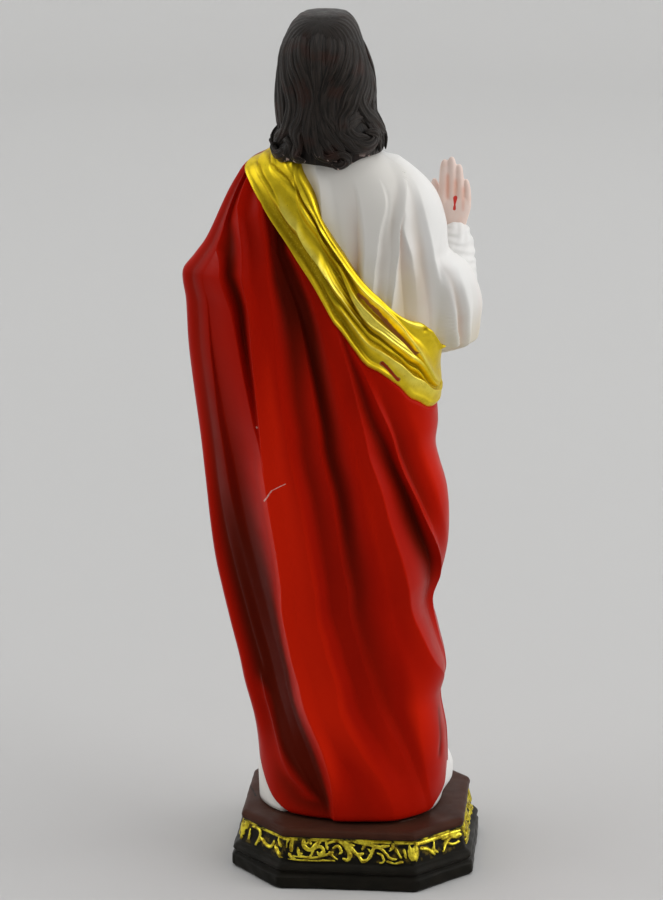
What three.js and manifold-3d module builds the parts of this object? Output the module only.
// A painted cast statue of a robed man on an eight-sided moulded plinth.
// Millimetres, +Z up. The figure faces -Y and its left side is +X. The origin is the centre of the underside.
import * as THREE from 'three';
import { mergeVertices } from 'three/addons/utils/BufferGeometryUtils.js';
import Module from 'manifold-3d';

const wasm = await Module();
wasm.setup();

// Driving dimensions of the plinth.
const PLINTH_HEIGHT = 20.5;
const PLINTH_TOP_WIDTH = 77.4;
const PLINTH_TOP_DEPTH = 72;
const PLINTH_CORNER_CUT = 16.2;
const PLINTH_FLARE = 3.6;
const LIP_HEIGHT = 3;
const FRIEZE_HEIGHT = 8.2;
const BEAD_HEIGHT = 4;
const FRIEZE_RECESS = 1.4;
const SCROLL_PITCH = 17;
const SCROLL_RELIEF = 1;
const SCROLL_THICKNESS = 2;
const SCROLL_STEPS = 11;

// Driving dimensions of the figure. Its carving is drawn in parts of its own height, 280 to the whole.
const FIGURE_HEIGHT = 279.2;
const FIGURE_PARTS = 280;
const STANDING_GAP = 0.3;
const MANTLE_THICKNESS = 1.4;
const FACING_THICKNESS = 1.3;

const TURN = 2 * Math.PI;
const deg = (angle) => THREE.MathUtils.degToRad(angle);
const mix = THREE.MathUtils.lerp;
const { clamp, smoothstep } = THREE.MathUtils;

// A smooth hump of height 1 at 0, with its own width on either side.
const hump = (x, below, above = below) => Math.exp(-((x / (x < 0 ? below : above)) ** 2));

// The difference between two angles, at most half a turn either way.
const turnFrom = (a, b) => a - b - TURN * Math.round((a - b) / TURN);

// The radius at an angle of an oval, a little squarer than an ellipse.
const SQUARENESS = 2.3;

function oval(wide, deep, angle) {
  const [across, along] = [Math.abs(Math.cos(angle) / wide), Math.abs(Math.sin(angle) / deep)];
  return (across ** SQUARENESS + along ** SQUARENESS) ** (-1 / SQUARENESS);
}

// The row of a table at t, on a smooth curve through its rows. A row is its own t, then its values.
function along(table, t) {
  const last = table.length - 1;
  const x = clamp(t, Math.min(table[0][0], table[last][0]), Math.max(table[0][0], table[last][0]));
  const rising = table[last][0] > table[0][0];
  let i = 0;
  while (i < last - 1 && (rising ? x > table[i + 1][0] : x < table[i + 1][0])) i++;
  const [p, a, b, q] = [i - 1, i, i + 1, i + 2].map((k) => table[clamp(k, 0, last)]);
  const span = b[0] - a[0];
  const s = (x - a[0]) / span;
  return a.slice(1).map((value, k) => {
    const n = k + 1;
    const slope = (u, v) => (v[0] === u[0] ? 0 : ((v[n] - u[n]) / (v[0] - u[0])) * span);
    const [m0, m1] = [slope(p, b), slope(a, q)];
    return (
      value * (2 * s ** 3 - 3 * s ** 2 + 1) + m0 * (s ** 3 - 2 * s ** 2 + s) +
      b[n] * (3 * s ** 2 - 2 * s ** 3) + m1 * (s ** 3 - s ** 2)
    );
  });
}

// A closed skin of rows and columns: its surface is a point for each angle and each fall from pole to pole.
function skin(columns, rows, surface) {
  const geometry = new THREE.SphereGeometry(1, columns, rows);
  const { position, uv } = geometry.attributes;
  for (let i = 0; i < position.count; i++) {
    const fall = 1 - uv.getY(i);
    const point = surface((uv.getX(i) % 1) * TURN, fall);
    position.setXYZ(i, point.x, point.y, point.z);
  }
  return geometry;
}

// A closed geometry as a solid that can be joined and cut.
function solid(geometry) {
  const bare = geometry.clone();
  bare.deleteAttribute('normal');
  bare.deleteAttribute('uv');
  const merged = mergeVertices(bare, 1e-3);
  const [index, count] = [merged.index.array, []];
  for (let i = 0; i < index.length; i += 3) {
    const [a, b, c] = [index[i], index[i + 1], index[i + 2]];
    if (a !== b && b !== c && c !== a) count.push(a, b, c);
  }
  return new wasm.Manifold(new wasm.Mesh({
    numProp: 3, vertProperties: merged.attributes.position.array, triVerts: new Uint32Array(count),
  }));
}

// A solid as a geometry for a mesh.
function geometryOf(body) {
  const mesh = body.getMesh();
  const geometry = new THREE.BufferGeometry();
  geometry.setAttribute('position', new THREE.BufferAttribute(mesh.vertProperties, 3));
  geometry.setIndex(new THREE.BufferAttribute(mesh.triVerts, 1));
  const flat = geometry.toNonIndexed();
  flat.computeVertexNormals();
  return flat;
}

// The clothed body. Each row is a height, then the left, right, back and front extents of the trunk there,
// and how far the mantle over the bent left arm stands out beyond the trunk.
const BODY = [
  [0, 33, -31, 25.4, -27, 0],
  [10, 33, -32, 25.4, -26, 0.8],
  [26, 32, -31.6, 25, -24, 4.3],
  [40, 32, -29.4, 24.8, -22.6, 8.4],
  [50, 32, -31.2, 24.6, -22, 10.8],
  [62, 32.5, -28.6, 24.6, -21.6, 13],
  [75, 33, -26.4, 24.6, -21, 15.4],
  [85, 33.5, -29.2, 25, -20.5, 17],
  [98, 34, -31, 25.2, -20, 18.4],
  [115, 34, -30.4, 25, -19.5, 20.2],
  [131, 33.4, -26.4, 24.2, -18.8, 22.4],
  [140, 33, -27.2, 23.8, -18.5, 23.8],
  [151, 32, -26.8, 23, -18, 26],
  [164, 32, -27.6, 22, -18, 27.2],
  [180, 32, -29, 21, -18, 27.6],
  [190.5, 32.5, -30, 20.5, -18, 28.2],
  [195.5, 33, -30.3, 20, -18, 23.4],
  [202, 33.5, -30.3, 20, -18, 17.6],
  [216, 34, -26.5, 19.5, -17, 9.6],
  [223, 32.5, -22, 18.5, -16, 6.4],
  [229, 30, -14.5, 17, -14.5, 4],
  [235, 25, -4, 14, -11, 0],
  [240, 18.5, 4, 10, -8, 0],
];
const BODY_TOP = 242;
const ELBOW_SPREAD = deg(24);
const ELBOW_TURN = [[0, deg(-14)], [120, deg(-8)], [189, deg(2)], [240, deg(8)]];

// The trunk and arm drape with no folds: the centre of the section at a height, and its radius at an angle.
function section(height) {
  const [left, right, back, front, elbow] = along(BODY, height);
  return {
    x: (left + right) / 2, y: (back + front) / 2, wide: (left - right) / 2, deep: (back - front) / 2,
    elbow: Math.max(elbow, 0), elbowTurn: along(ELBOW_TURN, height)[0],
  };
}

function plainRadius(cut, angle) {
  return oval(cut.wide, cut.deep, angle) + cut.elbow * hump(turnFrom(angle, cut.elbowTurn), ELBOW_SPREAD);
}

// The borders of the garments, as turns in degrees from the left side, round by the back, and heights.
// The gilt facing of the mantle's upper edge lies between its foot and its top.
const FACING_TOP = [
  [-180, 172], [-150, 171], [-120, 174], [-95, 181], [-78, 193], [-66, 212], [-56, 232], [-46, 252],
  [44, 252], [53, 230], [59, 217], [66, 208], [81, 198], [105, 188.5], [129, 180], [144, 177], [159, 177],
  [169, 175], [180, 172],
];
const FACING_FOOT = [
  [-180, 147], [-150, 152], [-120, 158], [-95, 164], [-78, 169], [-66, 176], [-56, 188], [-46, 206],
  [-36, 222], [-22, 228], [3, 225], [19, 220], [28, 213], [37, 203], [47, 193], [69, 181], [95, 168],
  [113, 161], [132, 155], [150, 149], [167, 146], [180, 147],
];
const HEM = [
  [-180, 12], [-165, 26], [-145, 48], [-120, 68], [-95, 84], [-70, 94], [-55, 88], [-40, 66], [-22, 42],
  [-8, 24], [2, 12], [8, 7], [20, 3.6], [32, -2], [150, -2], [164, 3], [180, 12],
];

// A fold has its rise, or its depth below 0, its widths towards the left and right sides of the figure,
// and the line that it follows, as heights and turns in degrees.
const fold = (rise, left, right, ...line) => ({ rise, left, right, line });
const BACK_FOLDS = [
  fold(-5.8, 9, 3.6, [150, 22], [116, 19.5], [69, 28.5], [41, 38.6], [16, 65], [4, 78]),
  fold(3.2, 2.2, 6, [180, 25], [124, 27.3], [92, 34], [53, 45], [32, 59], [11, 77], [-6, 84]),
  fold(2.4, 2.2, 2.6, [226, 10], [201, 22.5], [163, 25.3], [131, 27]),
  fold(1.8, 2, 2, [200, 18], [173, 20], [142, 25], [120, 27]),
  fold(-2.8, 3, 4, [192, 12], [161, 9.5], [117, 5], [77, 9]),
  fold(2.2, 4, 3, [213, 30], [163, 35], [126, 46], [91, 57], [58, 74], [29, 92]),
  fold(-5.4, 3.6, 6, [210, 35], [174, 44.5], [144, 66], [116, 82], [84, 99], [62, 107]),
  fold(3.2, 7, 2.4, [174, 80], [137, 110], [109, 125], [75, 145], [56, 156], [48, 178]),
  fold(-2.6, 2.4, 3, [151, 103], [127, 129], [105, 146], [86, 160]),
  fold(2, 2.6, 2.6, [155, 115], [122, 143], [94, 161]),
  fold(-2.2, 2.4, 4, [32, 74], [18, 90], [3, 105]),
  fold(2, 2.8, 2.4, [28, 4], [15, 30], [6, 60]),
  fold(2.8, 6, 4, [58, 136], [40, 144], [16, 139]),
];
const FRONT_FOLDS = [
  fold(5.5, 7, 7, [190, -28], [110, -32], [36, -34]),
  fold(-2.4, 4, 4, [182, -50], [140, -50], [78, -55]),
  fold(2, 4, 4, [172, -62], [130, -64], [98, -66]),
  fold(2.6, 7, 6, [120, -58], [40, -60], [-6, -60]),
];

// The sum of the folds at a point. The line of a fold slants, so its width is taken square to it.
function foldRise(folds, angle, height, radius) {
  let rise = 0;
  for (const { line, left, right, rise: full } of folds) {
    const [top, foot] = [line[0][0], line.at(-1)[0]];
    if (height > top || height < foot) continue;
    const [turn] = along(line, height);
    const [lower] = along(line, height - 1);
    const slant = Math.hypot(1, deg(lower - turn) * radius);
    const aside = (turnFrom(angle, deg(turn)) * radius) / slant;
    const taper = smoothstep(top - height, 0, (top - foot) * 0.2) * smoothstep(height - foot, 0, 8);
    rise += full * hump(aside, left, right) * taper;
  }
  return rise;
}

// Pleats of the robe in front, below the mantle, and the slack folds of the mantle across the front.
const SKIRT_PLEATS = 9;
const SKIRT_DEPTH = 1.5;
const SWAG_FOLDS = 3;
const SWAG_DEPTH = 1.6;
const FACING_FOLDS = 2;
const FACING_DEPTH = 1.1;
const CHEST_PLEATS = 11;
const CHEST_DEPTH = 0.7;

const frontShare = (angle) => 1 - smoothstep(Math.abs(turnFrom(angle, deg(-90))), deg(62), deg(86));

// The heights that bound the garments at an angle, from the top of the body down.
function borders(angle) {
  const turn = THREE.MathUtils.radToDeg(turnFrom(angle, 0));
  const [hem] = along(HEM, turn);
  const foot = Math.min(along(FACING_FOOT, turn)[0], BODY_TOP - 6);
  const top = Math.min(Math.max(along(FACING_TOP, turn)[0], foot + 3), BODY_TOP - 3);
  return { top, foot, hem: Math.max(hem, 1.6) };
}

// How far the cloth stands out beyond the plain body.
function garmentRise(angle, height, radius) {
  const { top, foot, hem } = borders(angle);
  const front = frontShare(angle);
  const below = (border) => smoothstep(border - height, -BORDER_ROLL, BORDER_ROLL);
  const inMantle = below(foot) * (1 - below(hem));
  const inFacing = below(top) * (1 - below(foot));
  const over = inMantle + inFacing;

  let rise = MANTLE_THICKNESS * (over - 1) + FACING_THICKNESS * inFacing;
  rise += foldRise(BACK_FOLDS, angle, height, radius) * inMantle * (1 - front);
  rise += foldRise(FRONT_FOLDS, angle, height, radius) * (1 - inFacing) * front;
  const slack = (foot - height) / Math.max(foot - hem, 1);
  rise += SWAG_DEPTH * Math.sin(slack * SWAG_FOLDS * TURN) * front * inMantle;
  const gather = (height - foot) / (top - foot);
  rise += FACING_DEPTH * Math.cos((gather * FACING_FOLDS + 0.4) * TURN) * inFacing;
  const pleat = Math.cos(turnFrom(angle, deg(-90)) * SKIRT_PLEATS + 0.5 * Math.sin(height / 24));
  rise += SKIRT_DEPTH * pleat * front * (1 - over) * (1 - smoothstep(height, 95, 130));
  const chest = Math.cos(turnFrom(angle, deg(90)) * CHEST_PLEATS + height / 30);
  const inChest = smoothstep(height, 165, 185) * (1 - smoothstep(height, 215, 232)) * (1 - over);
  rise += CHEST_DEPTH * chest * inChest;
  return rise;
}

// The rows of the body's skin follow the borders of the garments, with a close pair of rows at each border.
const BORDER_ROLL = 1.1;
const BODY_COLUMNS = 60;
const BODY_ROWS = [5, 1, 6, 1, 13, 1, 3];

function bodyHeight(angle, row) {
  const { top, foot, hem } = borders(angle);
  const levels = [BODY_TOP];
  for (const border of [top, foot, hem]) levels.push(border + BORDER_ROLL, border - BORDER_ROLL);
  levels.push(0);
  let left = row;
  for (let i = 0; i < BODY_ROWS.length; i++) {
    if (left <= BODY_ROWS[i]) return mix(levels[i], levels[i + 1], left / BODY_ROWS[i]);
    left -= BODY_ROWS[i];
  }
  return 0;
}

function bodySkin() {
  const rings = BODY_ROWS.reduce((sum, rows) => sum + rows);
  const rows = rings + 2;
  return skin(BODY_COLUMNS, rows, (angle, fall) => {
    const height = bodyHeight(angle, clamp(Math.round(fall * rows) - 1, 0, rings));
    const cut = section(height);
    const plain = plainRadius(cut, angle);
    const radius = fall === 0 || fall === 1 ? 0 : plain + garmentRise(angle, height, plain);
    return new THREE.Vector3(cut.x + radius * Math.cos(angle), cut.y + radius * Math.sin(angle), height);
  });
}

// A rounded limb along stations of x, y, height, half width and half depth. The width lies along "side".
function limb(stations, columns, rows, side = [1, 0, 0], bluntness = 6) {
  const joints = stations.map(([x, y, z]) => new THREE.Vector3(x, y, z));
  const curve = new THREE.CatmullRomCurve3(joints, false, 'centripetal');
  const sideways = new THREE.Vector3(...side);
  const girth = stations.map((row, i) => [i / (stations.length - 1), row[3], row[4] ?? row[3]]);
  return skin(columns, rows, (angle, fall) => {
    const t = 0.5 - 0.5 * Math.cos(Math.PI * fall);
    const centre = curve.getPoint(t);
    const ahead = curve.getTangent(t);
    const across = sideways.clone().addScaledVector(ahead, -ahead.dot(sideways)).normalize();
    const deep = across.clone().cross(ahead);
    const [wide, thick] = along(girth, t);
    const close = Math.sqrt(Math.max(0, 1 - Math.abs(2 * t - 1) ** bluntness));
    return centre
      .addScaledVector(across, wide * close * Math.cos(angle))
      .addScaledVector(deep, thick * close * Math.sin(angle));
  });
}

// The head under the hair, with the masses of a calm, bearded face. Turns are from straight ahead.
const HEAD = { x: 11.3, y: 0.5 };
const HEAD_SHAPE = [
  [233, 3, 0, -10.5], [236, 5.4, 3, -13.4], [239.5, 7.6, 5, -15], [243, 9, 8, -15.4],
  [248, 10.8, 12, -15.2], [254, 12, 15, -15.4], [260, 12.7, 16.5, -15], [263, 13, 16.6, -15.6],
  [268, 12.8, 16.4, -14.8],
  [273, 11, 14, -12], [277, 6, 7, -6],
];
const FACE = [
  { rise: 2.2, turn: 0, height: 252.6, wide: 0.16, above: 2.4, below: 1.2 },
  { rise: 2.4, turn: 0, height: 253.4, wide: 0.1, above: 8, below: 1.6 },
  { rise: -1.7, turn: 0.4, height: 259.6, wide: 0.2, above: 1.9, below: 2.6 },
  { rise: -1.7, turn: -0.4, height: 259.6, wide: 0.2, above: 1.9, below: 2.6 },
  { rise: 0.9, turn: 0.52, height: 254.6, wide: 0.26, above: 3, below: 4 },
  { rise: 0.9, turn: -0.52, height: 254.6, wide: 0.26, above: 3, below: 4 },
  { rise: 0.9, turn: 0, height: 249, wide: 0.3, above: 1.2, below: 1.2 },
  { rise: 0.9, turn: 0, height: 246.2, wide: 0.22, above: 1, below: 1.2 },
  { rise: 1.6, turn: 0, height: 241, wide: 0.5, above: 4, below: 5 },
];
const HEAD_COLUMNS = 24;
const HEAD_ROWS = 20;
const FACE_CROWDING = 0.55;

function headSkin() {
  const [foot, top] = [HEAD_SHAPE[0][0], HEAD_SHAPE.at(-1)[0]];
  return skin(HEAD_COLUMNS, HEAD_ROWS, (spread, fall) => {
    const off = turnFrom(spread, deg(-90));
    const ahead = off - FACE_CROWDING * Math.sin(off);
    const angle = deg(-90) + ahead;
    const height = mix(top, foot, fall);
    const [half, back, front] = along(HEAD_SHAPE, height);
    let radius = oval(half, (back - front) / 2, angle);
    for (const { rise, turn, height: middle, wide, below, above } of FACE) {
      radius += rise * hump(ahead - turn, wide) * hump(height - middle, below, above);
    }
    if (fall === 0 || fall === 1) radius = 0;
    const y = HEAD.y + (back + front) / 2;
    return new THREE.Vector3(HEAD.x + radius * Math.cos(angle), y + radius * Math.sin(angle), height);
  });
}

// The long hair: height, half width to the left and to the right, and how far it stands back and forward.
const HAIR = [
  [227.5, 16.6, 18.6, 17.5, 9], [231, 20, 20.8, 19, 9], [236, 20, 21, 19.4, 10], [240, 17, 19.4, 19, 12],
  [245, 16.2, 17.2, 18.6, 13.5], [254, 16.4, 17.2, 19, 14], [261, 15.6, 15.8, 19.4, 15],
  [267, 14.6, 14.2, 18.8, 15.8], [272, 12.6, 12, 16.6, 14.4], [276, 9.6, 9.4, 13, 11], [279, 5.6, 6, 8, 7],
];
const HAIR_HEM = [
  [0, 231], [45, 231.5], [90, 229.5], [112, 228], [135, 232],
  [180, 232.5], [230, 234], [310, 234], [360, 231],
];
const HAIR_COLUMNS = 38;
const HAIR_ROWS = 15;
const INNER_COLUMNS = 4;
const HAIRLINE = 271.5;
const FACE_HALF = deg(50);
const PARTING_HALF = deg(8);
const LOCKS = 11;
const LOCK_DEPTH = 0.8;
const LOCK_WAVE = 1.6;
const LOCK_WAVE_HEIGHT = 7;

// The hair parts over the face. Its columns end along that opening, and a few more close its inside.
function hairSkin() {
  const top = FIGURE_PARTS;
  const inner = INNER_COLUMNS / 2;
  const outer = HAIR_COLUMNS / 2 - inner;
  return skin(HAIR_COLUMNS, HAIR_ROWS, (spread, fall) => {
    const column = (turnFrom(spread, deg(90)) / TURN) * HAIR_COLUMNS;
    const near = Math.abs(column);
    const rough = mix(top, 230, fall);
    const face = Math.max(FACE_HALF * Math.sqrt(clamp((HAIRLINE - rough) / 14, 0, 1)), PARTING_HALF);
    const inside = near > outer + 0.5;
    const edge = Math.PI - face;
    const reach = inside ? mix(edge, Math.PI, (near - outer) / inner) : (edge * near) / outer;
    const angle = deg(90) + Math.sign(column) * reach;
    const foot = fall === 1 ? 232 : along(HAIR_HEM, THREE.MathUtils.radToDeg(angle + TURN) % 360)[0];
    const height = mix(top, foot, fall);
    const [left, right, back, front] = along(HAIR, height);
    let radius = oval(Math.cos(angle) > 0 ? left : right, Math.sin(angle) > 0 ? back : front, angle);
    const wave = LOCK_WAVE * Math.sin(height / LOCK_WAVE_HEIGHT);
    radius += LOCK_DEPTH * Math.cos(angle * LOCKS + wave) * smoothstep(top - height, 2, 14);
    if (inside) radius *= 1 - 0.5 * smoothstep(HAIRLINE - rough, 0, 4);
    if (fall === 0 || fall === 1) radius = 0;
    return new THREE.Vector3(HEAD.x + radius * Math.cos(angle), HEAD.y + radius * Math.sin(angle), height);
  });
}

// The heart on the breast. It is seated on the robe's front, and sunk into it, at its own height.
const HEART = { x: 7, height: 206, size: 5.4, relief: 3.6, sunk: 1.5 };
const HEART_SEAT = robeFront(HEART.x, HEART.height);

function robeFront(x, height) {
  const cut = section(height);
  const aside = Math.min(Math.abs((x - cut.x) / cut.wide), 1);
  return cut.y - cut.deep * (1 - aside ** SQUARENESS) ** (1 / SQUARENESS);
}

// A joint of the left hand, whose place is given from the heart that it points to.
const fromHeart = ([x, y, z, ...girth]) => [HEART.x + x, HEART_SEAT + y, HEART.height + z, ...girth];

// A hand: a palm and five fingers along given joints.
function hand(palm, fingers, side) {
  return [limb(palm, 8, 6, side, 4), ...fingers.map((finger) => limb(finger, 5, 5, side, 8))];
}

const RAISED_HAND = hand(
  [[-32.6, -12, 202, 3.4, 2.6], [-32.4, -12.4, 208, 5.2, 2.5], [-32, -12.6, 214.5, 5.6, 2.3]],
  [
    [[-27.9, -12.6, 210, 1.7], [-27.9, -12.8, 219, 1.7], [-28.3, -13, 226.8, 1.4]],
    [[-30.8, -12.6, 211, 1.7], [-30.7, -12.8, 220, 1.7], [-30.6, -13, 227.6, 1.4]],
    [[-33.6, -12.6, 211, 1.7], [-33.4, -13, 219, 1.6], [-33.2, -13.4, 225.2, 1.3]],
    [[-36, -12.6, 209, 1.5], [-36.3, -13, 215, 1.5], [-36.3, -13.4, 219.6, 1.2]],
    [[-29, -12.8, 206, 1.9], [-26.2, -14, 212, 1.8], [-24.9, -15.4, 218.4, 1.3]],
  ],
  [1, 0, 0],
);
const LEFT_HAND = hand(
  [[20.5, -6, -9.5, 2.5, 3.4], [15.5, -7, -6.5, 2.4, 4.6], [11.5, -7, -4, 2.3, 4.8]].map(fromHeart),
  [
    [[14.5, -7.2, -2.5, 1.6], [8, -7.4, 2, 1.5], [4.6, -7, 4.6, 1.2]],
    [[14, -7.4, -4.4, 1.6], [6.6, -7.8, -1, 1.5], [4.4, -6.4, -1.4, 1.3]],
    [[14, -7.4, -6.4, 1.6], [6.4, -7.6, -4.6, 1.5], [4.4, -6, -5, 1.3]],
    [[14.5, -7.2, -8.4, 1.5], [7.2, -7.2, -8.2, 1.4], [5.4, -5.6, -8.4, 1.2]],
    [[16.5, -7.4, -4.4, 1.8], [11.6, -8.8, 2.4, 1.6], [9.4, -8.6, 6, 1.2]],
  ].map((joints) => joints.map(fromHeart)),
  [0, -1, 0],
);

const FEET_MIDDLE = 4;

// The sleeves: the right upper arm, the raised right forearm, and the left forearm across the breast.
const SLEEVES = [
  limb([
    [-17, 1, 222, 11, 11], [-24, 0, 205, 9.5, 11], [-30.5, -2, 188, 9, 11.5],
    [-32, -4, 176, 8.6, 11], [-31.5, -5, 166, 6.5, 8],
  ], 14, 10),
  limb([
    [-31.8, -3, 167, 6.5, 8], [-33, -6, 178, 8.6, 10], [-33.2, -9, 190, 7.4, 9],
    [-32.8, -11.6, 200, 4.8, 5.6], [-32.6, -12.6, 207, 4, 4.4],
  ], 12, 10),
  limb([
    [50, -2, 189, 9, 8], [42, -12, 188, 9, 8.6], [34, -19, 191, 7, 8],
    ...[[20, -5.5, -10, 5, 5.6], [18, -6.5, -8, 4.4, 5]].map(fromHeart),
  ], 12, 10, [0, 0, 1]),
];

const NECK = limb([[11.3, 0, 232, 8.5], [11.3, -1, 240, 7.6], [11.3, -1, 250, 7.6]], 14, 5);

// A bare foot, pointing ahead and a little outwards.
function foot(side) {
  const [heel, instep, toes] = [12, 13, 14].map((out) => FEET_MIDDLE + side * out);
  return limb([[heel, -18, 4.4, 4.5, 3.6], [instep, -27, 3.6, 4.6, 3], [toes, -34, 2.4, 4.6, 2.2]], 10, 8);
}

// The heart, with the flame above it.
function heartSolid() {
  const s = HEART.size;
  const outline = new THREE.Shape();
  outline.moveTo(0, -s * 1.15);
  outline.bezierCurveTo(-s * 0.6, -s * 0.6, -s * 1.1, -s * 0.1, -s, s * 0.35);
  outline.bezierCurveTo(-s * 0.8, s * 1, -s * 0.15, s * 0.9, 0, s * 0.45);
  outline.bezierCurveTo(s * 0.15, s * 0.9, s * 0.8, s * 1, s, s * 0.35);
  outline.bezierCurveTo(s * 1.1, -s * 0.1, s * 0.6, -s * 0.6, 0, -s * 1.15);
  const geometry = new THREE.ExtrudeGeometry(outline, {
    depth: HEART.relief + HEART.sunk, curveSegments: 4,
    bevelThickness: 1, bevelSize: 0.9, bevelOffset: -0.9, bevelSegments: 1,
  });
  geometry.rotateX(Math.PI / 2);
  geometry.translate(HEART.x, HEART_SEAT + HEART.sunk, HEART.height);
  const flame = limb([[0, -1.5, 3, 2], [0, -1.5, 6.5, 1.7], [0, -1.2, 9.5, 0.8]].map(fromHeart), 6, 5);
  return [geometry, flame];
}

function figureGeometry() {
  const pieces = [
    bodySkin(), headSkin(), hairSkin(), NECK, foot(-1), foot(1),
    ...SLEEVES, ...RAISED_HAND, ...LEFT_HAND, ...heartSolid(),
  ];
  const whole = pieces.map(solid).reduce((a, b) => a.add(b));
  const size = FIGURE_HEIGHT / FIGURE_PARTS;
  const geometry = geometryOf(whole);
  geometry.scale(size, size, size);
  return geometry;
}

// The plinth's moulding, from its underside up: height, and how far it stands out beyond the top's outline.
const FRIEZE_FOOT = PLINTH_HEIGHT - LIP_HEIGHT - FRIEZE_HEIGHT;
const FRIEZE_TOP = PLINTH_HEIGHT - LIP_HEIGHT;
const BEAD_FOOT = FRIEZE_FOOT - BEAD_HEIGHT;
const MOULDING = [
  [0, PLINTH_FLARE - 0.6],
  [0.8, PLINTH_FLARE],
  [BEAD_FOOT - 0.9, PLINTH_FLARE],
  [BEAD_FOOT, PLINTH_FLARE - 1.4],
  [BEAD_FOOT + 0.9, PLINTH_FLARE - 0.6],
  [FRIEZE_FOOT - 1.6, PLINTH_FLARE - 0.7],
  [FRIEZE_FOOT - 0.4, PLINTH_FLARE - 1.8],
  [FRIEZE_FOOT + 0.6, PLINTH_FLARE - 2.4],
  [FRIEZE_TOP - 0.6, -FRIEZE_RECESS + 0.9],
  [FRIEZE_TOP, 0.2],
  [PLINTH_HEIGHT - 0.9, 0.3],
  [PLINTH_HEIGHT, -0.9],
];

// The eight corners of the plinth's plan, grown outwards by a distance.
function planCorners(grown) {
  const [x, y] = [PLINTH_TOP_WIDTH / 2 + grown, PLINTH_TOP_DEPTH / 2 + grown];
  const cut = PLINTH_CORNER_CUT + grown * (2 - Math.SQRT2);
  const back = [[x, y - cut], [x - cut, y], [cut - x, y], [-x, y - cut]];
  return [...back, ...back.map(([u, v]) => [-u, -v])];
}

function plinthBody() {
  const rows = MOULDING.length + 1;
  return skin(8, rows, (angle, fall) => {
    const row = clamp(Math.round(fall * rows) - 1, 0, MOULDING.length - 1);
    const [height, grown] = MOULDING[MOULDING.length - 1 - row];
    if (fall === 0 || fall === 1) return new THREE.Vector3(0, 0, height);
    const [x, y] = planCorners(grown)[Math.round((angle / TURN) * 8) % 8];
    return new THREE.Vector3(x, y, height);
  });
}

// One C-scroll of the frieze: a curling rib in the plane of a face, open to the left or to the right.
class Curl extends THREE.Curve {
  constructor(frame, place, hand) {
    super();
    Object.assign(this, { frame, place, hand });
  }

  getPoint(t, target = new THREE.Vector3()) {
    const tail = 0.4;
    const eye = 0.14 * SCROLL_PITCH;
    let [u, v] = [0, 0];
    if (t < tail) {
      u = mix(-0.56 * SCROLL_PITCH, eye, t / tail);
      v = mix(0.2, -0.4, Math.sin(((t / tail) * Math.PI) / 2)) * FRIEZE_HEIGHT;
    } else {
      const s = (t - tail) / (1 - tail);
      const reach = mix(0.4, 0.12, s) * FRIEZE_HEIGHT;
      const angle = deg(mix(-90, 330, s));
      [u, v] = [eye + 1.25 * reach * Math.cos(angle), reach * Math.sin(angle)];
    }
    target.copy(this.frame.middle).addScaledVector(this.frame.along, this.place + u);
    return target.addScaledVector(this.frame.up, this.hand * v);
  }
}

// The frame of each of the eight frieze faces: its middle, the way along it, the way up it, and its length.
function friezeFaces() {
  const low = planCorners(PLINTH_FLARE - 2.4);
  const high = planCorners(-FRIEZE_RECESS + 0.9);
  return low.map((corner, i) => {
    const next = (i + 1) % 8;
    const at = (ring, k, height) => new THREE.Vector3(ring[k][0], ring[k][1], height);
    const foot = at(low, i, FRIEZE_FOOT + 0.6).lerp(at(low, next, FRIEZE_FOOT + 0.6), 0.5);
    const head = at(high, i, FRIEZE_TOP - 0.6).lerp(at(high, next, FRIEZE_TOP - 0.6), 0.5);
    const along = at(low, next, 0).sub(at(low, i, 0));
    return {
      middle: foot.clone().lerp(head, 0.5), along: along.clone().normalize(),
      up: head.clone().sub(foot).normalize(), length: along.length(),
    };
  });
}

function scrolls() {
  const ribs = [];
  for (const frame of friezeFaces()) {
    const count = Math.max(1, Math.round(frame.length / SCROLL_PITCH));
    for (let i = 0; i < count; i++) {
      const place = ((i + 0.5) / count - 0.5) * (frame.length - 3);
      const curl = new Curl(frame, place, i % 2 ? 1 : -1);
      const half = SCROLL_THICKNESS / 2;
      const rib = new THREE.Shape([
        new THREE.Vector2(-SCROLL_RELIEF, -half),
        new THREE.Vector2(SCROLL_RELIEF, 0),
        new THREE.Vector2(-SCROLL_RELIEF, half),
      ]);
      ribs.push(new THREE.ExtrudeGeometry(rib, { steps: SCROLL_STEPS, extrudePath: curl }));
    }
  }
  return ribs;
}

function plinthGeometry() {
  const whole = [plinthBody(), ...scrolls()].map(solid).reduce((a, b) => a.add(b));
  return geometryOf(whole);
}

const finish = (color, roughness) => new THREE.MeshStandardMaterial({ color, roughness, metalness: 0 });

const statue = new THREE.Group();
const plinth = new THREE.Mesh(plinthGeometry(), finish(0x2a1d19, 0.45));
plinth.name = 'plinth';
const figure = new THREE.Mesh(figureGeometry(), finish(0x9c1208, 0.4));
figure.name = 'figure';
figure.position.z = PLINTH_HEIGHT + STANDING_GAP;
statue.add(plinth, figure);

export default statue;
